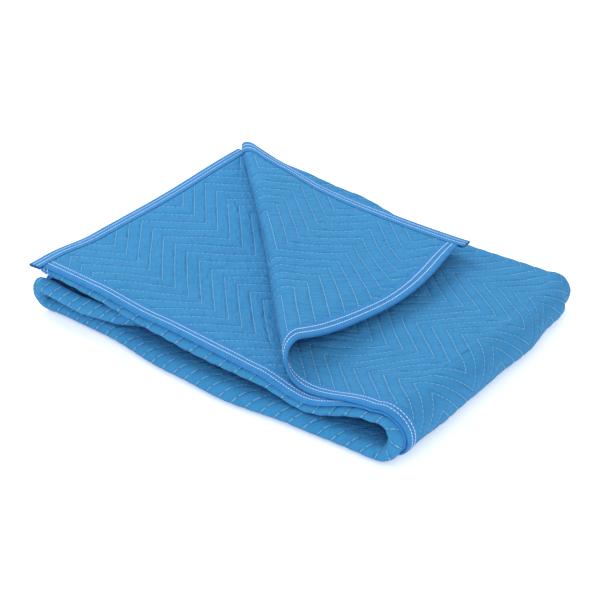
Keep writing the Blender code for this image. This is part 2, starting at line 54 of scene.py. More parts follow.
# the cloth laid flat: s runs along its length and t across its width
cloth = {
    "length": 1.62,
    "width": 1.98,
    "puff": 0.0042,          # thickness between the quilting lines
    "stitched": 0.50,        # share of it left under the stitching
    "layerPitch": 0.0062,    # from one leaf to the next
    "plan": (0.32492, 0.24500),   # where the frame's origin lies on the plan
}

quilting = {
    "reach": 0.080,          # from one corner of a zigzag to the next, along the length
    "slope": 0.70,           # its lines' distance square to them, as a share of that along the length
    # lines to the metre and how they grow closer, and the first line
    "count": 32.8,
    "closing": 6.45,
    "start": 3.42,
    # the rows of corners drift along the length, the other way on the other half of the width
    "drift": 0.225,
    "driftLength": 0.30,
    "driftTurn": 0.30,
    # round a near bend the lines are drawn out with the cloth: width kept out of it, where it ends
    "bendKept": 0.20,
    "bendTo": 0.14,
    "bendFade": 0.12,
    # t, number of the row of corners there
    "rows": [
        (-0.02, -1.176),
        (0.478, 5.333),
        (1.490, 17.417),
        (2.000, 23.914),
    ],
}

binding = {
    "width": 0.021,
    "wall": 0.0006,
    "tab": 0.009,            # how far the left one runs on past the corners
    "step": 0.0045,
}


def softStep(value):
    value = np.clip(value, 0.0, 1.0)
    return value * value * (3.0 - 2.0 * value)


def softTable(place, rows, column):
    # reads a column of a table with soft steps between its rows
    places = np.array([row[0] for row in rows])
    values = np.array([row[column] for row in rows])
    row = np.clip(np.searchsorted(places, place) - 1, 0, len(places) - 2)
    share = softStep((place - places[row]) / (places[row + 1] - places[row]))
    return values[row] + share * (values[row + 1] - values[row])


# the fold across the width, in levels above the middle of the four leaves
fold = {
    "outer": 1.5 * cloth["layerPitch"],
    "inner": 0.5 * cloth["layerPitch"],
    "flareFrom": 0.12,
    "flareTo": 0.02,
    "span": 0.4945,
    "inset": 0.004,
    "nearT": 0.9957,
    "nearRadius": 0.0051,
    "loopFrom": 0.031,       # where a fat near bend starts to widen, from the near side
    "loopTo": 0.005,
    "outerDrop": 0.0011,     # the outer loose edge is lifted this much less than the inner one
    "tuckSpan": 0.20,        # how far from the near side a tuck reaches in
    # along the cloth; near side; lift of the near side; how far the leaves of the near bend open
    # below and above; how far its loop opens; lift of the two loose edges; how much further
    # the outer and the inner of those reach; how far the near bend bellies out
    "places": [
        (0.00, 0.004, 0.0095, 0.0050, 0.0015, 0.0000, 0.0007, 0.000, 0.000, 0.004),
        (0.20, 0.002, 0.0092, 0.0095, 0.0015, 0.0000, 0.0007, 0.000, 0.000, 0.007),
        (0.30, 0.001, 0.0090, 0.0140, 0.0015, 0.0000, 0.0007, 0.000, 0.000, 0.009),
        (0.50, 0.003, 0.0060, 0.0065, 0.0015, 0.0000, 0.0007, 0.000, 0.000, 0.006),
        (0.60, 0.004, 0.0050, 0.0040, 0.0015, 0.0000, 0.0007, 0.004, -0.012, 0.000),
        (0.74, -0.006, 0.0000, 0.0040, 0.0015, 0.0095, 0.0000, -0.024, -0.034, 0.000),
        (0.86, -0.010, 0.0000, 0.0060, 0.0015, 0.0095, 0.0000, -0.024, -0.034, 0.000),
        (0.98, -0.016, 0.0000, 0.0075, 0.0015, 0.0100, 0.0000, -0.024, -0.034, 0.006),
        (1.07, -0.015, 0.0000, 0.0060, 0.0015, 0.0100, 0.0000, -0.024, -0.034, 0.004),
        (1.22, 0.000, 0.0000, 0.0030, 0.0015, 0.0090, 0.0000, -0.024, -0.034, 0.000),
        (1.30, 0.001, 0.0000, 0.0030, 0.0015, 0.0090, 0.0000, -0.024, -0.034, 0.000),
        (1.41, -0.008, 0.0048, 0.0025, 0.0015, 0.0165, 0.0030, -0.024, -0.036, 0.002),
        (1.52, -0.010, 0.0048, 0.0025, 0.0015, 0.0165, 0.0030, -0.024, -0.036, 0.002),
        (1.62, -0.004, 0.0040, 0.0020, 0.0015, 0.0040, 0.0020, -0.024, -0.036, 0.000),
    ],
    # along the cloth, how far its near side is tucked in below the rest
    "tucks": [
        (1.50, 0.000),
        (1.62, 0.042),
    ],
    # t, how far the leaf there has slid along the length
    "slides": [
        (0.00, 0.020),
        (0.30, 0.020),
        (0.60, 0.011),
        (0.98, 0.010),
        (1.02, 0.006),
        (1.20, 0.005),
        (1.45, 0.000),
        (1.98, 0.000),
    ],
}

# the roll along the length: upper run, front bend, lower run, left bend, middle run
roll = {
    "frontX": 0.622,
    "frontRadius": (0.0280, 0.0155),    # at the near and at the far side
    "leftX": 0.015,
    "leftRadius": 0.0155,
    "lowerZ": 1.5 * cloth["layerPitch"] + 0.5 * cloth["puff"],
    # x, height of the upper run at its near and its far side, height of the middle run
    "heights": [
        (0.000, 0.0735, 0.0805, 0.0424),
        (0.015, 0.0740, 0.0800, 0.0424),
        (0.120, 0.0725, 0.0710, 0.0366),
        (0.235, 0.0615, 0.0606, 0.0362),
        (0.370, 0.0575, 0.0405, 0.0362),
        (0.420, 0.0555, 0.0390, 0.0362),
        (0.500, 0.0410, 0.0385, 0.0362),
        (0.605, 0.0640, 0.0390, 0.0362),
    ],
    "bulgeFrom": 0.47,       # where the bulges of the front end start, and how softly they do and end
    "bulgeOver": 0.15,
    "bulgeFade": 0.12,
    # y, how far the front end bulges there
    "bulges": [
        (-0.02, -0.005),
        (0.05, -0.003),
        (0.12, 0.002),
        (0.25, 0.004),
        (0.34, 0.012),
        (0.39, 0.009),
        (0.44, 0.011),
        (0.475, 0.000),
        (0.52, -0.002),
    ],
}
roll["heights"].append((roll["frontX"], *(roll["lowerZ"] + 2 * radius for radius in roll["frontRadius"]),
                        0.0362))
roll["frontEnd"] = roll["frontX"] + math.pi * (0.5 * sum(roll["frontRadius"]) + fold["outer"])
roll["leftStart"] = roll["frontEnd"] + roll["frontX"] - roll["leftX"]
roll["leftEnd"] = roll["leftStart"] + math.pi * (roll["leftRadius"] + fold["outer"])

# the crease of the corner that is turned back, and the curl over it
crease = {
    "far": np.array([0.026, 0.4877]),
    "near": np.array([0.500, 0.0]),
    "radiusFar": 0.014,
    "radiusNear": 0.0185,
    "overturn": math.radians(11),
    "rest": 0.0064,
    "blend": 0.006,
    "easing": 0.12,
    "spanFrom": 0.06,        # the corner spans hollows from here on, and fully this much further
    "spanOver": 0.34,
    # place along the crease, how far the corner is drawn out there
    "stretches": [
        (0.00, 1.07),
        (0.33, 1.07),
        (0.50, 1.27),
        (0.66, 1.36),
    ],
    # x, height of the run that the stiff corner would lie flat on, where it spans a hollow
    "levels": [
        (0.00, 0.0700),
        (0.12, 0.0660),
        (0.30, 0.0600),
        (0.50, 0.0620),
    ],
}
crease["length"] = np.linalg.norm(crease["near"] - crease["far"])
crease["along"] = (crease["near"] - crease["far"]) / crease["length"]
crease["outward"] = np.array([crease["along"][1], -crease["along"][0]])

# slow bends of the whole stack on the plan: size, length, phase
swayAlong = [(0.0035, 0.95, 0.6), (0.0015, 0.31, 2.1)]
swayAcross = [(0.0030, 0.80, 0.4), (0.0012, 0.27, 1.3)]

quarterTurn = 0.5 * math.pi * fold["nearRadius"]
leafRun = fold["span"] - fold["outer"] - fold["nearRadius"]
turns = {"nearStart": fold["nearT"] - quarterTurn, "nearEnd": fold["nearT"] + quarterTurn}
turns["outerEnd"] = turns["nearStart"] - leafRun
turns["outerStart"] = turns["outerEnd"] - math.pi * fold["outer"]
turns["innerStart"] = turns["nearEnd"] + leafRun - fold["inset"]
turns["innerEnd"] = turns["innerStart"] + math.pi * fold["inner"]


def nearShare(y):
    return softStep((fold["flareFrom"] - y) / (fold["flareFrom"] - fold["flareTo"]))


def acrossFold(t, place):
    # t to y and level on the back-and-forth section, and whether it is the outer leaf
    nearY, lift, below, above, loop, loose, outerReach, innerReach, belly = place
    radius = 0.5 * (fold["outer"] + below - fold["inner"] + above + loop)
    nearLevel = -0.5 * (fold["outer"] + below + fold["inner"] - above - loop)
    nearCentre = nearY - belly + radius
    farCentre = nearY + fold["span"] - fold["outer"]
    innerCentre = farCentre - fold["inset"]
    out = fold["nearT"] - t
    bend = out / fold["nearRadius"]
    y = nearCentre - radius * np.cos(bend)
    level = nearLevel - radius * np.sin(bend)
    run = out - quarterTurn
    lowerY = nearCentre + run * (farCentre - nearCentre) / leafRun
    y = np.where(run >= 0, lowerY, y)
    level = np.where(run >= 0, -fold["outer"] - below * nearShare(lowerY), level)
    run = run - leafRun
    turn = run / fold["outer"]
    y = np.where(run >= 0, farCentre + fold["outer"] * np.sin(turn), y)
    level = np.where(run >= 0, -fold["outer"] * np.cos(turn), level)
    run = run - math.pi * fold["outer"]
    topLeaf = run >= 0
    topY = farCentre - run * (1.0 + outerReach / leafRun)
    y = np.where(topLeaf, topY, y)
    level = np.where(topLeaf, fold["outer"] + (loose - fold["outerDrop"]) * nearShare(topY), level)

    inward = t - fold["nearT"]
    bend = inward / fold["nearRadius"]
    y = np.where(inward > 0, nearCentre - radius * np.cos(bend), y)
    level = np.where(inward > 0, nearLevel + radius * np.sin(bend), level)
    middleRun = leafRun - fold["inset"]
    run = inward - quarterTurn
    middleY = nearCentre + run * (innerCentre - nearCentre) / middleRun
    fromNear = middleY - nearY + belly
    opened = loop * softStep((fold["loopFrom"] - fromNear) / (fold["loopFrom"] - fold["loopTo"]))
    y = np.where(run >= 0, middleY, y)
    level = np.where(run >= 0, -fold["inner"] + above * nearShare(middleY) + opened, level)
    run = run - middleRun
    turn = run / fold["inner"]
    y = np.where(run >= 0, innerCentre + fold["inner"] * np.sin(turn), y)
    level = np.where(run >= 0, -fold["inner"] * np.cos(turn), level)
    run = run - math.pi * fold["inner"]
    upperY = innerCentre - run * (1.0 + innerReach / leafRun)
    y = np.where(run >= 0, upperY, y)
    level = np.where(run >= 0, fold["inner"] + loose * nearShare(upperY), level)
    return y, level, topLeaf


def upperHeight(x, y):
    near = softTable(x, roll["heights"], 1)
    far = softTable(x, roll["heights"], 2)
    return near + (far - near) * np.clip(y / fold["span"], 0.0, 1.0)


def alongRoll(s, y, level):
    # s to x and z on the rolled path, for cloth that lies level above its middle line
    x = s
    z = upperHeight(s, y) + level
    turn = math.pi * (s - roll["frontX"]) / (roll["frontEnd"] - roll["frontX"])
    bendRadius = 0.5 * (upperHeight(roll["frontX"], y) - roll["lowerZ"])
    radius = bendRadius + level
    past = s >= roll["frontX"]
    x = np.where(past, roll["frontX"] + radius * np.sin(turn), x)
    z = np.where(past, roll["lowerZ"] + bendRadius + radius * np.cos(turn), z)
    past = s >= roll["frontEnd"]
    x = np.where(past, roll["frontX"] - (s - roll["frontEnd"]), x)
    z = np.where(past, roll["lowerZ"] - level, z)
    turn = math.pi * (s - roll["leftStart"]) / (roll["leftEnd"] - roll["leftStart"])
    radius = roll["leftRadius"] + level
    past = s >= roll["leftStart"]
    x = np.where(past, roll["leftX"] - radius * np.sin(turn), x)
    z = np.where(past, roll["lowerZ"] + roll["leftRadius"] - radius * np.cos(turn), z)
    past = s >= roll["leftEnd"]
    middleX = roll["leftX"] + s - roll["leftEnd"]
    x = np.where(past, middleX, x)
    z = np.where(past, softTable(middleX, roll["heights"], 3) + level, z)
    starting = softStep((s - roll["bulgeFrom"]) / roll["bulgeOver"])
    ending = softStep((roll["frontEnd"] + roll["bulgeFade"] - s) / roll["bulgeFade"])
    return x + starting * ending * softTable(y, roll["bulges"], 1), z


def topHeight(x, y):
    # height of the outer leaf of the upper run, which the turned-back corner lies on
    return upperHeight(x, y) + fold["outer"] + softTable(x, fold["places"], 2) * nearShare(y)


def pastCrease(x, y):
    return (x - crease["far"][0]) * crease["outward"][0] + (y - crease["far"][1]) * crease["outward"][1]


def turnBack(x, y, z, onTop):
    past = pastCrease(x, y)
    down = (x - crease["far"][0]) * crease["along"][0] + (y - crease["far"][1]) * crease["along"][1]
    growth = crease["radiusNear"] - crease["radiusFar"]
    radius = crease["radiusFar"] + growth * softStep(down / crease["length"])
    fullTurn = math.pi + crease["overturn"]
    angle = np.minimum(past / radius, fullTurn)
    beyond = softTable(down, crease["stretches"], 1) * np.maximum(past - radius * fullTurn, 0.0)
    offset = radius * np.sin(angle) - beyond * math.cos(crease["overturn"])
    rise = radius * (1.0 - np.cos(angle)) - beyond * math.sin(crease["overturn"])
    above = rise - crease["rest"]
    settled = crease["rest"] + 0.5 * (above + np.sqrt(above ** 2 + crease["blend"] ** 2))
    rise = rise + softStep((past / radius - 0.5 * math.pi) / (0.5 * math.pi)) * (settled - rise)
    newX = x + crease["outward"][0] * (offset - past)
    newY = y + crease["outward"][1] * (offset - past)
    under = topHeight(newX, newY)
    hollow = np.maximum(softTable(newX, crease["levels"], 1) + fold["outer"] - under, 0.0)
    spanned = hollow * softStep((past - 2.0 * radius) / crease["easing"])
    spanned = spanned * softStep((newY - crease["spanFrom"]) / crease["spanOver"])
    turned = onTop & (past > 0)
    return np.where(turned, newX, x), np.where(turned, newY, y), np.where(turned, under + spanned + rise, z)


def foldedPlace(s, t):
    # flat places to points in the frame, rows of x, y and z
    shifted = s + softTable(t, fold["slides"], 1)
    place = [softTable(shifted, fold["places"], column) for column in range(1, 10)]
    y, level, topLeaf = acrossFold(t, place)
    y = y + softTable(shifted, fold["tucks"], 1) * softStep((fold["tuckSpan"] - y) / fold["tuckSpan"])
    x, z = alongRoll(shifted, y, level)
    z = z + place[1] * nearShare(y)
    x, y, z = turnBack(x, y, z, topLeaf & (shifted < roll["frontX"]))
    swayX = sum(size * np.sin(2 * math.pi * y / length + phase) for size, length, phase in swayAlong)
    swayY = sum(size * np.sin(2 * math.pi * x / length + phase) for size, length, phase in swayAcross)
    return np.stack([x + swayX - cloth["plan"][0], y + swayY - cloth["plan"][1], z], axis=-1)


def foldedNormal(s, t):
    step = 0.0004
    runS = foldedPlace(s + step, t) - foldedPlace(s - step, t)
    runT = foldedPlace(s, t + step) - foldedPlace(s, t - step)
    normal = np.cross(runS, runT)
    return normal / np.linalg.norm(normal, axis=-1, keepdims=True)


def cornerRow(s, t):
    # whole numbers fall on the rows of corners of the zigzag lines
    side = np.clip((0.5 * cloth["width"] - t) / quilting["driftTurn"], -1.0, 1.0)
    drift = quilting["drift"] * quilting["driftLength"] * np.tanh(s / quilting["driftLength"])
    # the lines run on evenly round the wider near bends
    loop = sum(softTable(s, fold["places"], column) for column in (3, 4, 5))
    widened = 0.5 * loop / fold["nearRadius"] - quilting["bendKept"]
    fromBend = t - fold["nearT"]
    fade = softStep((quilting["bendTo"] - np.abs(fromBend)) / quilting["bendFade"])
    t = t + np.maximum(widened, 0.0) * np.clip(fromBend, -quarterTurn, quarterTurn) * fade
    rows = quilting["rows"]
    return np.interp(t + side * drift, [row[0] for row in rows], [row[1] for row in rows])


def lineNumber(s, t):
    # whole numbers fall on the quilting lines, which run in zigzags across the width
    wave = np.abs((cornerRow(s, t) + 1.0) % 2.0 - 1.0)
    along = s + (wave - 0.5) * quilting["reach"]
    return quilting["count"] * along + quilting["closing"] * along ** 2 - quilting["start"]


def steps(start, end, spacing):
    count = max(1, round((end - start) / spacing))
    return [start + (end - start) * index / count for index in range(count)]


def crossesTop(s, t):
    # how far a place on the inner leaf of the upper run lies past the crease over it
    farY = fold["places"][0][1] + fold["span"] - fold["outer"] - fold["inset"]
    return pastCrease(s, farY - (t - turns["innerEnd"]))


# the flat runs end a little before their bends
upperEnd = roll["frontX"] - 0.02
lowerEnd = roll["leftStart"] - 0.02


def onTopLeaf(s, t):
    return s < upperEnd and t < turns["outerStart"]


def onLeafBelow(s, t):
    return s < upperEnd and t > turns["innerEnd"] and crossesTop(s, t) > -0.02


def onFrontBend(s, t):
    return upperEnd < s < roll["frontEnd"] and t < turns["outerStart"]


def onNearBend(s, t):
    return abs(t - fold["nearT"]) < pad["nearBend"] and (s < upperEnd or roll["frontEnd"] < s < lowerEnd)


def onFarBend(s, t):
    return turns["outerStart"] < t < turns["outerEnd"] and s < upperEnd


pad = {
    "columnStep": 0.0254,
    "bendColumns": 0.0080,
    "hiddenColumns": 0.0560,
    "rowStep": 0.0254,
    "edgeStep": 0.0105,      # within the bindings
    "nearBend": 0.046,       # how far a near bend reaches over the leaves that join it
    "nearBulb": 0.036,       # and how far its rows stay close
    "roundness": 0.7,        # under 1 the puffs are flatter on top
    "edgeFade": 0.006,       # over which they start beside a binding
    # region, cuts along the length and across the width of each face there
    "finer": [
        (onTopLeaf, 6, 6),
        (onLeafBelow, 6, 6),
        (onFrontBend, 1, 5),
        (onNearBend, 5, 0),
        (onFarBend, 3, 0),
    ],
}


def padColumns():
    edge = 1.5 * binding["width"]
    innerEdge = cloth["length"] - binding["width"]
    # from, to, spacing
    spans = [
        (0.0, edge, pad["edgeStep"]),
        (edge, upperEnd, pad["columnStep"]),
        (upperEnd, roll["frontEnd"], pad["bendColumns"]),
        (roll["frontEnd"], lowerEnd, pad["hiddenColumns"]),
        (lowerEnd, roll["leftEnd"], pad["bendColumns"]),
        (roll["leftEnd"], innerEdge, pad["hiddenColumns"]),
        (innerEdge, cloth["length"], pad["edgeStep"]),
    ]
    return [place for span in spans for place in steps(*span)] + [cloth["length"]]


def padRows():
    edge = 1.5 * binding["width"]
    flare = fold["flareFrom"]
    bulb = pad["nearBulb"]
    # from, to, spacing
    spans = [
        (0.0, edge, pad["edgeStep"]),
        (edge, turns["outerStart"], pad["rowStep"]),
        (turns["outerStart"], turns["outerEnd"], 0.0037),
        (turns["outerEnd"], turns["nearStart"] - flare, 0.120),
        (turns["nearStart"] - flare, turns["nearStart"] - bulb, 0.028),
        (turns["nearStart"] - bulb, turns["nearStart"], 0.006),
        (turns["nearStart"], turns["nearEnd"], 0.0014),
        (turns["nearEnd"], turns["nearEnd"] + bulb, 0.004),
        (turns["nearEnd"] + bulb, turns["nearEnd"] + flare, 0.028),
        (turns["nearEnd"] + flare, turns["innerStart"], 0.120),
        (turns["innerStart"], turns["innerEnd"], 0.0016),
        (turns["innerEnd"], cloth["width"] - edge, pad["rowStep"]),
        (cloth["width"] - edge, cloth["width"], pad["edgeStep"]),
    ]
    return [place for span in spans for place in steps(*span)] + [cloth["width"]]


def gridAt(xs, ys):
    # a grid primitive with its lines moved to the places given
    sheet = bmesh.new()
    bmesh.ops.create_grid(sheet, x_segments=len(xs) - 1, y_segments=len(ys) - 1, size=1.0)
    for vert in sheet.verts:
        column = round((vert.co.x + 1.0) / 2.0 * (len(xs) - 1))
        row = round((vert.co.y + 1.0) / 2.0 * (len(ys) - 1))
        vert.co = (xs[column], ys[row], 0.0)
    return sheet


def cutFiner(sheet, region, alongCuts, acrossCuts):
    for axis, cuts in ((0, alongCuts), (1, acrossCuts)):
        if not cuts:
            continue
        edges = set()
        for face in sheet.faces:
            centre = face.calc_center_bounds()
            if region(centre.x, centre.y):
                edges.update(edge for edge in face.edges
                             if abs((edge.verts[0].co - edge.verts[1].co)[axis]) > 0.001)
        bmesh.ops.subdivide_edges(sheet, edges=list(edges), cuts=cuts, use_grid_fill=True)


def readPoints(mesh):
    values = np.empty(len(mesh.vertices) * 3)
    mesh.vertices.foreach_get("co", values)
    return values.reshape(-1, 3)


def keepPlaces(mesh, name, first, second):
    # two values for each vertex go into a UV map, so that weave and stitching follow the cloth
    corners = np.empty(len(mesh.loops), int)
    mesh.loops.foreach_get("vertex_index", corners)
    layer = mesh.uv_layers.new(name=name)
    layer.data.foreach_set("uv", np.stack([first[corners], second[corners]], axis=-1).ravel())


def addPiece(name, mesh, material):
    mesh.materials.append(material)
    mesh.shade_smooth()
    piece = bpy.data.objects.new(name, mesh)
    bpy.context.scene.collection.objects.link(piece)
    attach(piece, "root")
    return piece


def addWall(piece, thickness, group=None):
    wall = piece.modifiers.new("wall", "SOLIDIFY")
    wall.thickness = thickness
    wall.offset = 0.0
    if group:
        wall.vertex_group = group
        wall.thickness_vertex_group = cloth["stitched"]


def makePad(material):
    sheet = gridAt(padColumns(), padRows())
    for region, alongCuts, acrossCuts in pad["finer"]:
        cutFiner(sheet, region, alongCuts, acrossCuts)
    mesh = bpy.data.meshes.new("quilted_pad")
    sheet.to_mesh(mesh)
    sheet.free()
    flat = readPoints(mesh)
    s, t = flat[:, 0], flat[:, 1]
    mesh.vertices.foreach_set("co", foldedPlace(s, t).ravel())
    keepPlaces(mesh, "flat", s, t)
    keepPlaces(mesh, "quilt", s, cornerRow(s, t))
    piece = addPiece("quilted_pad", mesh, material)

    line = lineNumber(s, t)
    fromLine = np.abs(line - np.rint(line))
    puff = np.sin(math.pi * fromLine) ** pad["roundness"]
    edge = np.minimum.reduce([s, cloth["length"] - s, t, cloth["width"] - t])
    puff = puff * softStep((edge - binding["width"]) / pad["edgeFade"])
    group = piece.vertex_groups.new(name="puff")
    for index, weight in enumerate(puff):
        group.add([index], float(weight), "REPLACE")
    addWall(piece, cloth["puff"], "puff")
    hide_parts("pad")
    print("pad:", len(mesh.polygons), "faces")
    return piece


# two rows of white stitching along each strip, seen on both of its sides
stitches = {
    "rows": (0.0068, 0.0138),    # from the edge
    "step": 0.0042,
    "share": 0.72,               # of the step that the thread lies on top
    "width": 0.0010,
    "height": 0.0005,
    "lift": 0.0010,              # of the tape's top, which the thread lies on, over the cloth's
}


def bindingSection():
    # inset from the edge and height above the cloth's middle, over the edge and down the other side
    half = 0.5 * cloth["puff"] * cloth["stitched"]
    first, second = stitches["rows"]
    upper = [
        (binding["width"], half + 0.0005),
        (binding["width"] - 0.0012, half + 0.0009),
        (0.5 * (binding["width"] + second), half + 0.0012),
        (second, half + 0.0006),
        (0.5 * (first + second), half + 0.0015),
        (first, half + 0.0007),
        (0.5 * first, half + 0.0013),
        (0.0012, half + 0.0009),
        (-0.0008, half + 0.0001),
    ]
    return upper + [(inset, -height) for inset, height in reversed(upper)]


def alongEdge(edge, inward, inset, height):
    # points at insets from an edge and heights over the cloth; the edge's places and the direction
    # inward are flat ones
    held = np.clip(inset, 0.0, None)
    s = edge[0] + held * inward[0]
    t = edge[1] + held * inward[1]
    base = foldedPlace(s, t)
    just = binding["wall"]
    normal = foldedNormal(s + just * inward[0], t + just * inward[1])
    outward = base - foldedPlace(s + just * inward[0], t + just * inward[1])
    outward = outward / np.linalg.norm(outward, axis=-1, keepdims=True)
    return base + height[..., np.newaxis] * normal + np.clip(-inset, 0.0, None)[..., np.newaxis] * outward


def makeBinding(name, node, edge, inward, material):
    section = bindingSection()
    inset = np.array([row[0] for row in section])[:, np.newaxis]
    height = np.array([row[1] for row in section])[:, np.newaxis]
    count = edge.shape[1]
    points = alongEdge(edge[:, np.newaxis, :], inward, inset, height)
    strip = bmesh.new()
    bmesh.ops.create_grid(strip, x_segments=count - 1, y_segments=len(section) - 1, size=1.0)
    mesh = bpy.data.meshes.new(name)
    strip.to_mesh(mesh)
    strip.free()
    flat = readPoints(mesh)
    column = np.rint((flat[:, 0] + 1.0) / 2.0 * (count - 1)).astype(int)
    row = np.rint((flat[:, 1] + 1.0) / 2.0 * (len(section) - 1)).astype(int)
    mesh.vertices.foreach_set("co", points[row, column].ravel())
    keepPlaces(mesh, "flat", (edge[0] + edge[1])[column], (inset[:, 0] * np.sign(height[:, 0]))[row])
    piece = addPiece(name, mesh, material)
    addWall(piece, binding["wall"])
    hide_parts(node)
    return piece


def edgeRuns():
    # name, node, flat places along the edge, flat direction away from it
    length, width, step = cloth["length"], cloth["width"], binding["step"]
    butt = binding["width"] + 0.002
    down = np.array(steps(-binding["tab"], width + binding["tab"], step) + [width + binding["tab"]])
    along = np.array(steps(butt, length, step) + [length])
    across = np.array(steps(butt, width - butt, step) + [width - butt])
    return [
        ("edge_binding_left", "binding_left", np.stack([0 * down, down]), (1.0, 0.0)),
        ("edge_binding_flap", "binding_flap", np.stack([along, 0 * along]), (0.0, 1.0)),
        ("edge_binding_near", "binding_near", np.stack([along, 0 * along + width]), (0.0, -1.0)),
        ("edge_binding_inner", "binding_inner", np.stack([0 * across + length, across]), (-1.0, 0.0)),
    ]


def makeStitching(name, edge, inward, material):
    # a row of faces along each line of stitching, with every second one taken out
    rows = [(inset, side) for inset in stitches["rows"] for side in (1.0, -1.0)]
    length = abs(edge[0][-1] - edge[0][0]) + abs(edge[1][-1] - edge[1][0])
    count = int(length / stitches["step"])
    share = (np.arange(2 * count + 1) // 2 + stitches["share"] * (np.arange(2 * count + 1) % 2)) / count
    start = edge[:, :1]
    places = start + (edge[:, -1:] - start) * np.minimum(share, 1.0)
    half = 0.5 * stitches["width"]
    over = 0.5 * cloth["puff"] * cloth["stitched"] + stitches["lift"] + 0.5 * stitches["height"]
    mesh = bpy.data.meshes.new(name)
    dashes = bmesh.new()
    for inset, side in rows:
        before = len(dashes.verts)
        bmesh.ops.create_grid(dashes, x_segments=2 * count, y_segments=1, size=1.0)
        dashes.verts.ensure_lookup_table()
        across = np.array([[inset - half], [inset + half]])
        points = alongEdge(places[:, np.newaxis, :], inward, across, side * over + 0.0 * across)
        for vert in dashes.verts[before:]:
            column = round((vert.co.x + 1.0) * count)
            row = round(0.5 * (vert.co.y + 1.0))
            vert.co = points[row, column]
    faces = [face for index, face in enumerate(dashes.faces) if index % (2 * count) % 2]
    bmesh.ops.delete(dashes, geom=faces, context="FACES")
    dashes.to_mesh(mesh)
    dashes.free()
    piece = addPiece(name, mesh, material)
    addWall(piece, stitches["height"])
    print(name + ":", len(mesh.polygons), "stitches")
    return piece


class Wire:
    # a socket that can be used in sums, each of which adds its Math node
    def __init__(self, board, socket):
        self.board = board
        self.socket = socket

    def join(self, operation, first, second):
        return self.board.add("ShaderNodeMath", {"operation": operation}, {0: first, 1: second})

    def __add__(self, other):
        return self.join("ADD", self, other)

    def __radd__(self, other):
        return self.join("ADD", other, self)

    def __sub__(self, other):
        return self.join("SUBTRACT", self, other)

    def __rsub__(self, other):
        return self.join("SUBTRACT", other, self)

    def __mul__(self, other):
        return self.join("MULTIPLY", self, other)

    def __rmul__(self, other):
        return self.join("MULTIPLY", other, self)

    def __truediv__(self, other):
        return self.join("DIVIDE", self, other)

    def __rtruediv__(self, other):
        return self.join("DIVIDE", other, self)

    def pingPong(self, scale):
        return self.join("PINGPONG", self, scale)

    def below(self, limit):
        return self.join("LESS_THAN", self, limit)


class Board:
    # a material and its nodes
    def __init__(self, name):
        self.material = bpy.data.materials.new(name)
        self.material.use_nodes = True
        self.tree = self.material.node_tree
        self.shader = self.tree.nodes["Principled BSDF"]

    def add(self, kind, settings, inputs, output=0):
        node = self.tree.nodes.new(kind)
        for name, value in settings.items():
            setattr(node, name, value)
        for name, value in inputs.items():
            self.feed(node.inputs[name], value)
        return Wire(self, node.outputs[output])

    def feed(self, socket, value):
        if isinstance(value, Wire):
            self.tree.links.new(value.socket, socket)
        else:
            socket.default_value = value

    def places(self, name):
        return self.add("ShaderNodeUVMap", {"uv_map": name}, {})

    def split(self, vector):
        first = self.add("ShaderNodeSeparateXYZ", {}, {"Vector": vector})
        return first, Wire(self, first.socket.node.outputs["Y"])

    def scaled(self, vector, along, across):
        return self.add("ShaderNodeVectorMath", {"operation": "MULTIPLY"},
                        {0: vector, 1: (along, across, 1.0)})

    def mixColour(self, share, first, second):
        return self.add("ShaderNodeMix", {"data_type": "RGBA"}, {0: share, 6: first, 7: second}, 2)

    def ramp(self, value, low, high):
        return self.add("ShaderNodeMapRange", {"interpolation_type": "SMOOTHSTEP"},
                        {"Value": value, "From Min": low, "From Max": high})

    def noise(self, vector, scale, detail=2.0):
        return self.add("ShaderNodeTexNoise", {}, {"Vector": vector, "Scale": scale, "Detail": detail})

    def bump(self, height, distance, normal=None):
        inputs = {"Height": height, "Distance": distance, "Strength": 1.0}
        if normal:
            inputs["Normal"] = normal
        return self.add("ShaderNodeBump", {}, inputs)


def colour(red, green, blue):
    # screen values from 0 to 255, to the linear ones that the shader takes
    def linear(value):
        value = value / 255
        return value / 12.92 if value <= 0.04045 else ((value + 0.055) / 1.055) ** 2.4
    return (linear(red), linear(green), linear(blue), 1.0)


clothLook = {
    "face": colour(56, 135, 188),
    # a deeper blue, used for the random mottle and for the painted shade in the quilting grooves
    "deep": colour(44, 118, 174),
    "thread": colour(160, 206, 220),
    "roughness": 0.95,
    "sheen": 0.04,
    "threadHalf": 0.00034,
    "stitch": 0.0032,
    "slant": math.radians(37),   # of the fine wrinkles, and how they are drawn out along it
    "drawn": (3.0, 1.0, 1.0),
    "waver": 0.0030,             # how far the lines of stitching stray
    "grooveHalf": 0.0050,        # half the width of the hollow that the stitching pulls in, and of the shade painted into it
}

tapeLook = {
    "face": colour(54, 130, 192),
    "deep": colour(42, 112, 176),
    "roughness": 0.90,
    "sheen": 0.04,
}

threadLook = {
    "face": colour(205, 228, 240),
    "roughness": 0.8,
}


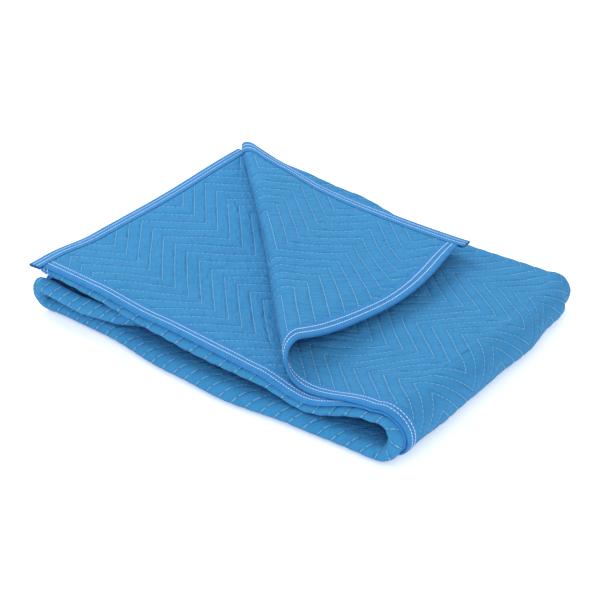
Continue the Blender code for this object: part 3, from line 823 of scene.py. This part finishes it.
def clothMaterial():
    board = Board("quilted cloth")
    flat = board.places("flat")
    t = board.split(flat)[1]
    s, row = board.split(board.places("quilt"))
    waver = (board.noise(flat, 24.0) - 0.5) * clothLook["waver"]
    wave = row.pingPong(1.0)
    along = s + waver + (wave - 0.5) * quilting["reach"]
    line = along * quilting["count"] + along * along * quilting["closing"] - quilting["start"]
    spacing = quilting["slope"] / (quilting["count"] + along * (2.0 * quilting["closing"]))
    fromLine = (line + 20.0).pingPong(0.5) * spacing     # metres, square to the line
    groove = board.ramp(fromLine, 0.0, clothLook["grooveHalf"])
    dash = ((t + 1.0) / (0.72 * clothLook["stitch"])).pingPong(1.0).below(0.72)
    half = clothLook["threadHalf"]
    thread = (1.0 - board.ramp(fromLine, 0.6 * half, 1.5 * half)) * dash

    mottle = board.noise(flat, 45.0, 4.0)
    face = board.mixColour(board.ramp(mottle, 0.3, 0.7) * 0.30, clothLook["face"], clothLook["deep"])
    # painted shade: the colour is darkened towards the deep blue in the hollows along the quilting lines
    shaded = board.mixColour((1.0 - groove) * 0.45, face, clothLook["deep"])
    board.feed(board.shader.inputs["Base Color"], board.mixColour(thread * 0.70, shaded, clothLook["thread"]))
    board.feed(board.shader.inputs["Roughness"], clothLook["roughness"])
    board.feed(board.shader.inputs["Sheen Weight"], clothLook["sheen"])
    board.feed(board.shader.inputs["Specular IOR Level"], 0.15)

    # fine wrinkles run slantwise over the cloth
    turn = (0.0, 0.0, clothLook["slant"])
    slanted = board.add("ShaderNodeMapping", {"vector_type": "TEXTURE"},
                        {"Vector": flat, "Rotation": turn, "Scale": clothLook["drawn"]})
    wrinkle = board.noise(slanted, 190.0, 3.0)
    pucker = board.noise(flat, 95.0, 3.0)
    weave = board.noise(flat, 900.0)
    normal = board.bump(groove, 0.0010)
    normal = board.bump(wrinkle, 0.0040, normal)
    normal = board.bump(pucker, 0.0026, normal)
    normal = board.bump(weave, 0.0002, normal)
    board.feed(board.shader.inputs["Normal"], normal)
    return board.material


def tapeMaterial():
    board = Board("binding tape")
    flat = board.places("flat")
    mottle = board.noise(flat, 80.0, 3.0)
    face = board.mixColour(board.ramp(mottle, 0.3, 0.7) * 0.4, tapeLook["face"], tapeLook["deep"])
    board.feed(board.shader.inputs["Base Color"], face)
    board.feed(board.shader.inputs["Roughness"], tapeLook["roughness"])
    board.feed(board.shader.inputs["Sheen Weight"], tapeLook["sheen"])
    board.feed(board.shader.inputs["Specular IOR Level"], 0.15)
    weave = board.noise(flat, 1100.0)
    pucker = board.noise(board.scaled(flat, 1.0, 0.45), 150.0)
    board.feed(board.shader.inputs["Normal"], board.bump(weave, 0.00018, board.bump(pucker, 0.0016)))
    return board.material


def threadMaterial():
    board = Board("white thread")
    board.feed(board.shader.inputs["Base Color"], threadLook["face"])
    board.feed(board.shader.inputs["Roughness"], threadLook["roughness"])
    return board.material


stage = {
    "floorSize": 90.0,
    "floor": (1.0, 1.0, 1.0, 1.0),
    "glow": 0.30,
    "skyStrength": 0.82,
    # place, size, watts
    "lights": [
        ((-1.6, 0.6, 2.0), 1.4, 36.0),
        ((1.6, -1.8, 2.2), 2.6, 28.0),
    ],
}


def makeStage():
    sheet = bmesh.new()
    bmesh.ops.create_grid(sheet, x_segments=1, y_segments=1, size=0.5 * stage["floorSize"])
    mesh = bpy.data.meshes.new("floor")
    sheet.to_mesh(mesh)
    sheet.free()
    floor = bpy.data.objects.new("floor", mesh)
    bpy.context.scene.collection.objects.link(floor)
    board = Board("floor")
    board.feed(board.shader.inputs["Base Color"], stage["floor"])
    board.feed(board.shader.inputs["Roughness"], 1.0)
    board.feed(board.shader.inputs["Specular IOR Level"], 0.0)
    board.feed(board.shader.inputs["Emission Color"], stage["floor"])
    board.feed(board.shader.inputs["Emission Strength"], stage["glow"])
    mesh.materials.append(board.material)
    for index, (place, size, watts) in enumerate(stage["lights"]):
        data = bpy.data.lights.new(f"soft light {index + 1}", "AREA")
        data.size = size
        data.energy = watts
        light = bpy.data.objects.new(data.name, data)
        light.location = place
        light.rotation_mode = "QUATERNION"
        light.rotation_quaternion = Vector(place).to_track_quat("Z", "Y")
        bpy.context.scene.collection.objects.link(light)
    world = bpy.data.worlds.new("studio")
    world.use_nodes = True
    world.node_tree.nodes["Background"].inputs["Color"].default_value = (1.0, 1.0, 1.0, 1.0)
    world.node_tree.nodes["Background"].inputs["Strength"].default_value = stage["skyStrength"]
    bpy.context.scene.world = world
    bpy.context.scene.view_settings.view_transform = "Standard"
    print("stage ready")


def makeCamera():
    data = bpy.data.cameras.new("camera")
    data.lens = camera["lens"]
    data.sensor_width = 36.0
    data.clip_start = 0.05
    data.clip_end = 200.0
    turn, rise = math.radians(camera["azimuth"]), math.radians(camera["elevation"])
    back = Vector((math.sin(turn) * math.cos(rise), -math.cos(turn) * math.cos(rise), math.sin(rise)))
    target = Vector(camera["target"]) - Vector((*cloth["plan"], 0.0))
    view = bpy.data.objects.new("camera", data)
    view.location = target + back * camera["distance"]
    view.rotation_mode = "QUATERNION"
    view.rotation_quaternion = back.to_track_quat("Z", "Y")
    bpy.context.scene.collection.objects.link(view)
    bpy.context.scene.camera = view


makeCamera()
makeStage()
quiltedPad = makePad(clothMaterial())
tape, thread = tapeMaterial(), threadMaterial()
runs = edgeRuns()
strips = [makeBinding(*run, tape) for run in runs]
strips += [makeStitching("stitching_" + run[1][8:], *run[2:], thread) for run in runs]
